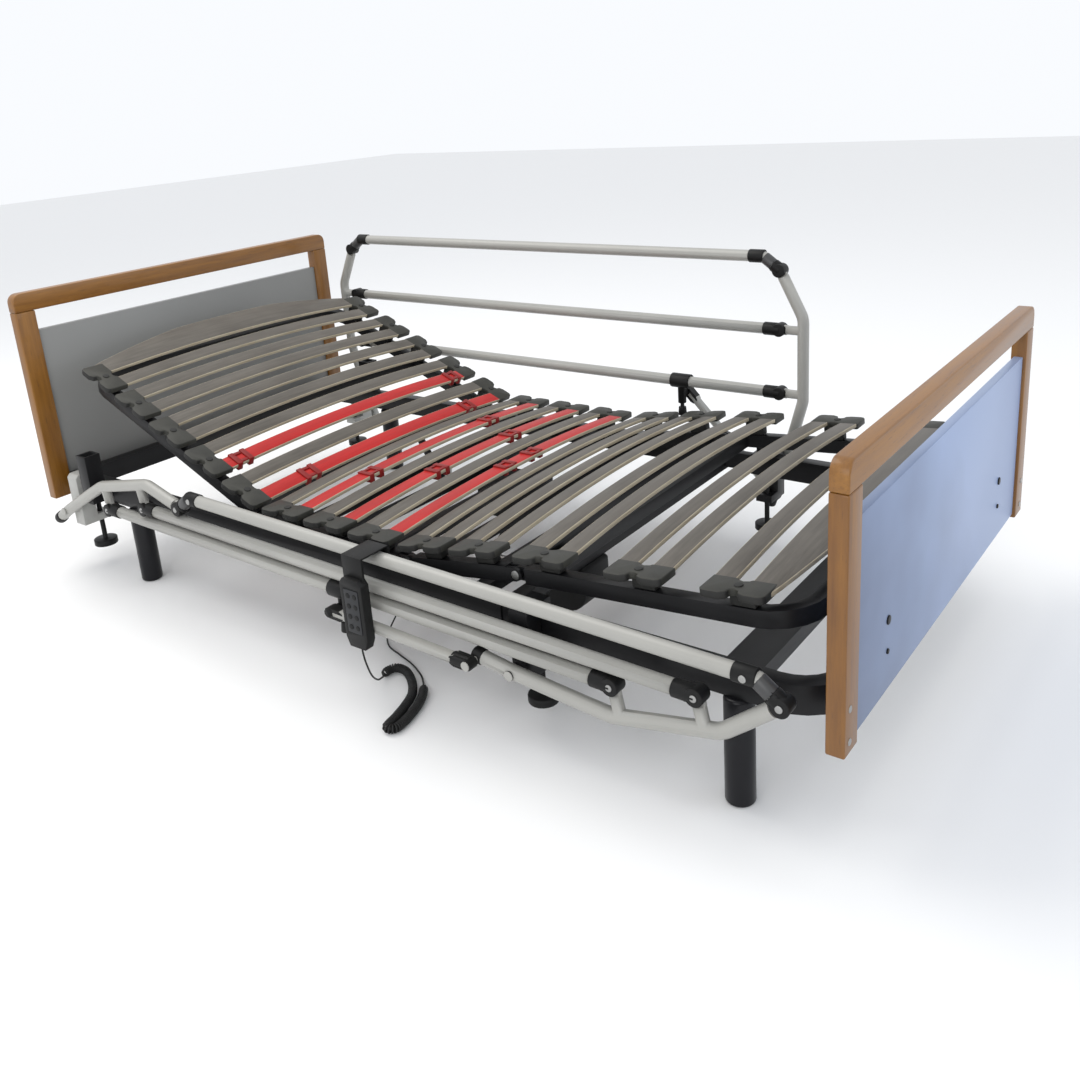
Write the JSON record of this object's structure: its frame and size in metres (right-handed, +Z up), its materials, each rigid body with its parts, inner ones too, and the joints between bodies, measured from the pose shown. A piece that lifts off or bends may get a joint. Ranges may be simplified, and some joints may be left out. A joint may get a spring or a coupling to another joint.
{
  "type": "adjustable hospital bed",
  "caption": "Slatted care bed with tilting back, thigh and leg sections, oak end boards, folding tubular side rails clamped to the base frame and a hanging handset.",
  "frame": {"origin": "on the floor under the middle of the bed, between the end boards", "axes": "+X from the head to the foot, +Y to the side whose rail is up, +Z up"},
  "size_m": [2.112, 1.1674, 0.716],
  "materials": {
    "oak": "clear lacquer",
    "laminate": "satin laminate on board",
    "black_enamel": "satin powder coat",
    "black_leg": "satin",
    "slat": "grey film over beech layers, grey rubber holders",
    "grey_enamel": "semi-gloss powder coat",
    "white_enamel": "semi-gloss",
    "black_plastic": "moulded",
    "steel": "bright",
    "button_grey": "moulded"
  },
  "bodies": {
    "base": {"headboard_frame": "oak", "headboard_panel": "laminate", "footboard_frame": "oak", "footboard_panel": "laminate", "base_head_half": "black_enamel", "base_foot_half": "black_enamel", "leg_head_near": "black_leg", "leg_head_far": "black_leg", "leg_foot_near": "black_leg", "leg_foot_far": "black_leg", "seat_frame": "black_enamel", "slats_06_seat": "slat", "slats_07_seat": "slat", "slats_08_seat": "slat", "clamp_head_near": "white_enamel", "clamp_foot_near": "white_enamel", "clamp_head_far": "white_enamel", "clamp_foot_far": "white_enamel", "drive_back_housing": "black_plastic", "drive_leg_housing": "black_plastic", "handset_lead": "black_plastic", "handset_coil": "black_plastic", "handset_tail": "black_plastic"},
    "back": {"back_frame": "black_enamel", "slats_01_back": "slat", "slats_02_back": "slat", "slats_03_back": "slat", "slats_04_back": "slat", "slats_05_back": "slat"},
    "thigh": {"thigh_frame": "black_enamel", "slats_09_thigh": "slat", "slats_10_thigh": "slat"},
    "leg": {"leg_frame": "black_enamel", "slats_11_leg": "slat", "slats_12_leg": "slat", "slats_13_leg": "slat"},
    "back_rod": {"drive_back_rod": "steel"},
    "leg_rod": {"drive_leg_rod": "steel"},
    "far_head_post": {"rail_far_head_post": "grey_enamel"},
    "far_foot_post": {"rail_far_foot_post": "grey_enamel"},
    "far_top_bar": {"rail_far_top_bar": "grey_enamel"},
    "far_middle_bar": {"rail_far_middle_bar": "grey_enamel"},
    "far_lower_bar": {"rail_far_lower_bar": "grey_enamel"},
    "far_catch": {"rail_far_catch": "black_plastic"},
    "far_plunger": {"rail_far_plunger": "black_plastic"},
    "far_strut": {"rail_far_strut": "grey_enamel"},
    "far_head_screw": {"clamp_screw_head_far": "black_plastic"},
    "far_foot_screw": {"clamp_screw_foot_far": "black_plastic"},
    "near_head_post": {"rail_near_head_post": "grey_enamel"},
    "near_foot_post": {"rail_near_foot_post": "grey_enamel"},
    "near_top_bar": {"rail_near_top_bar": "grey_enamel", "handset": "black_plastic"},
    "near_middle_bar": {"rail_near_middle_bar": "grey_enamel"},
    "near_lower_bar": {"rail_near_lower_bar": "grey_enamel"},
    "near_catch": {"rail_near_catch": "black_plastic"},
    "near_plunger": {"rail_near_plunger": "black_plastic"},
    "near_strut": {"rail_near_strut": "grey_enamel"},
    "near_head_screw": {"clamp_screw_head_near": "black_plastic"},
    "near_foot_screw": {"clamp_screw_foot_near": "black_plastic"},
    "keypad": {"handset_keypad": "button_grey"}
  },
  "joints": [
    {"name": "back_tilt", "type": "hinge", "parent": "base", "child": "back", "pos_m": [-0.292, 0, 0.24], "axis": [0, 1, 0], "range_deg": [-22.75, 37.25]},
    {"name": "thigh_tilt", "type": "hinge", "parent": "base", "child": "thigh", "pos_m": [0.14, 0, 0.24], "axis": [0, -1, 0], "range_deg": [-8.5, 23.5]},
    {"name": "knee_tilt", "type": "hinge", "parent": "thigh", "child": "leg", "pos_m": [0.41692, 0, 0.28139], "axis": [0, -1, 0], "range_deg": [-10.7, 3.9]},
    {"name": "back_rod_slide", "type": "slide", "parent": "base", "child": "back_rod", "axis": [-1, 0, 0], "range_m": [-0.0385, 0.063]},
    {"name": "leg_rod_slide", "type": "slide", "parent": "base", "child": "leg_rod", "axis": [1, 0, 0], "range_m": [-0.015, 0.041]},
    {"name": "far_rail_fold", "type": "hinge", "parent": "base", "child": "far_head_post", "pos_m": [-0.915, 0.512, 0.165], "axis": [0, 1, 0], "range_deg": [0, 77.5]},
    {"name": "far_foot_post_turn", "type": "hinge", "parent": "base", "child": "far_foot_post", "pos_m": [0.505, 0.512, 0.165], "axis": [0, 1, 0], "range_deg": [0, 77.6]},
    {"name": "far_lower_bar_turn", "type": "hinge", "parent": "far_head_post", "child": "far_lower_bar", "pos_m": [-0.915, 0.512, 0.375], "axis": [0, 1, 0], "range_deg": [-77.6, 0]},
    {"name": "far_middle_bar_turn", "type": "hinge", "parent": "far_head_post", "child": "far_middle_bar", "pos_m": [-0.915, 0.512, 0.53], "axis": [0, 1, 0], "range_deg": [-77.6, 0]},
    {"name": "far_top_bar_turn", "type": "hinge", "parent": "far_head_post", "child": "far_top_bar", "pos_m": [-0.915, 0.512, 0.67], "axis": [0, 1, 0], "range_deg": [-77.6, 0]},
    {"name": "far_catch_slide", "type": "slide", "parent": "far_lower_bar", "child": "far_catch", "axis": [-1, 0, 0], "range_m": [0, 0.3585]},
    {"name": "far_strut_turn", "type": "hinge", "parent": "far_foot_post", "child": "far_strut", "pos_m": [0.48, 0.542, 0.095], "axis": [0, 1, 0], "range_deg": [-122.69, 0]},
    {"name": "far_plunger_pull", "type": "slide", "parent": "far_catch", "child": "far_plunger", "axis": [0, 0, -1], "range_m": [0, 0.01], "stiffness_N_per_m": 400},
    {"name": "far_head_screw_turn", "type": "hinge", "parent": "base", "child": "far_head_screw", "pos_m": [-0.915, 0.435, 0.06], "axis": [0, 0, 1], "continuous": true},
    {"name": "far_foot_screw_turn", "type": "hinge", "parent": "base", "child": "far_foot_screw", "pos_m": [0.505, 0.435, 0.06], "axis": [0, 0, 1], "continuous": true},
    {"name": "near_rail_fold", "type": "hinge", "parent": "base", "child": "near_head_post", "pos_m": [-0.945, -0.512, 0.177], "axis": [0, -1, 0], "range_deg": [0, 77.5]},
    {"name": "near_foot_post_turn", "type": "hinge", "parent": "base", "child": "near_foot_post", "pos_m": [0.47478, -0.512, 0.15222], "axis": [0, -1, 0], "range_deg": [0, 77.6]},
    {"name": "near_lower_bar_turn", "type": "hinge", "parent": "near_head_post", "child": "near_lower_bar", "pos_m": [-0.73922, -0.512, 0.21887], "axis": [0, -1, 0], "range_deg": [-77.6, 0]},
    {"name": "near_middle_bar_turn", "type": "hinge", "parent": "near_head_post", "child": "near_middle_bar", "pos_m": [-0.58733, -0.512, 0.24977], "axis": [0, -1, 0], "range_deg": [-77.6, 0]},
    {"name": "near_top_bar_turn", "type": "hinge", "parent": "near_head_post", "child": "near_top_bar", "pos_m": [-0.45014, -0.512, 0.27768], "axis": [0, -1, 0], "range_deg": [-77.6, 0]},
    {"name": "near_catch_slide", "type": "slide", "parent": "near_lower_bar", "child": "near_catch", "axis": [0.9998, 0, -0.0175], "range_m": [0, 0.3585]},
    {"name": "near_strut_turn", "type": "hinge", "parent": "near_foot_post", "child": "near_strut", "pos_m": [0.4012, -0.542, 0.16276], "axis": [0, -1, 0], "range_deg": [-122.69, 0]},
    {"name": "near_plunger_pull", "type": "slide", "parent": "near_catch", "child": "near_plunger", "axis": [-0.0175, 0, -0.9998], "range_m": [0, 0.01], "stiffness_N_per_m": 400},
    {"name": "near_head_screw_turn", "type": "hinge", "parent": "base", "child": "near_head_screw", "pos_m": [-0.945, -0.435, 0.06], "axis": [0, 0, 1], "continuous": true},
    {"name": "near_foot_screw_turn", "type": "hinge", "parent": "base", "child": "near_foot_screw", "pos_m": [0.47478, -0.435, 0.06], "axis": [0, 0, 1], "continuous": true},
    {"name": "keypad_press", "type": "slide", "parent": "near_top_bar", "child": "keypad", "axis": [0, 1, 0], "range_m": [0, 0.0012], "stiffness_N_per_m": 500}
  ],
  "couplings": [
    {"joint": "knee_tilt", "follows": "thigh_tilt", "ratio": -0.45},
    {"joint": "back_rod_slide", "follows": "back_tilt", "m_per_rad": 0.0955},
    {"joint": "leg_rod_slide", "follows": "thigh_tilt", "m_per_rad": 0.0988},
    {"joint": "far_foot_post_turn", "follows": "far_rail_fold", "ratio": 1},
    {"joint": "far_lower_bar_turn", "follows": "far_rail_fold", "ratio": -1},
    {"joint": "far_middle_bar_turn", "follows": "far_rail_fold", "ratio": -1},
    {"joint": "far_top_bar_turn", "follows": "far_rail_fold", "ratio": -1},
    {"joint": "far_catch_slide", "follows": "far_rail_fold", "m_per_rad": 0.26467},
    {"joint": "far_strut_turn", "follows": "far_rail_fold", "ratio": -1.5792},
    {"joint": "near_foot_post_turn", "follows": "near_rail_fold", "ratio": 1},
    {"joint": "near_lower_bar_turn", "follows": "near_rail_fold", "ratio": -1},
    {"joint": "near_middle_bar_turn", "follows": "near_rail_fold", "ratio": -1},
    {"joint": "near_top_bar_turn", "follows": "near_rail_fold", "ratio": -1},
    {"joint": "near_catch_slide", "follows": "near_rail_fold", "m_per_rad": 0.26467},
    {"joint": "near_strut_turn", "follows": "near_rail_fold", "ratio": -1.5792}
  ]
}
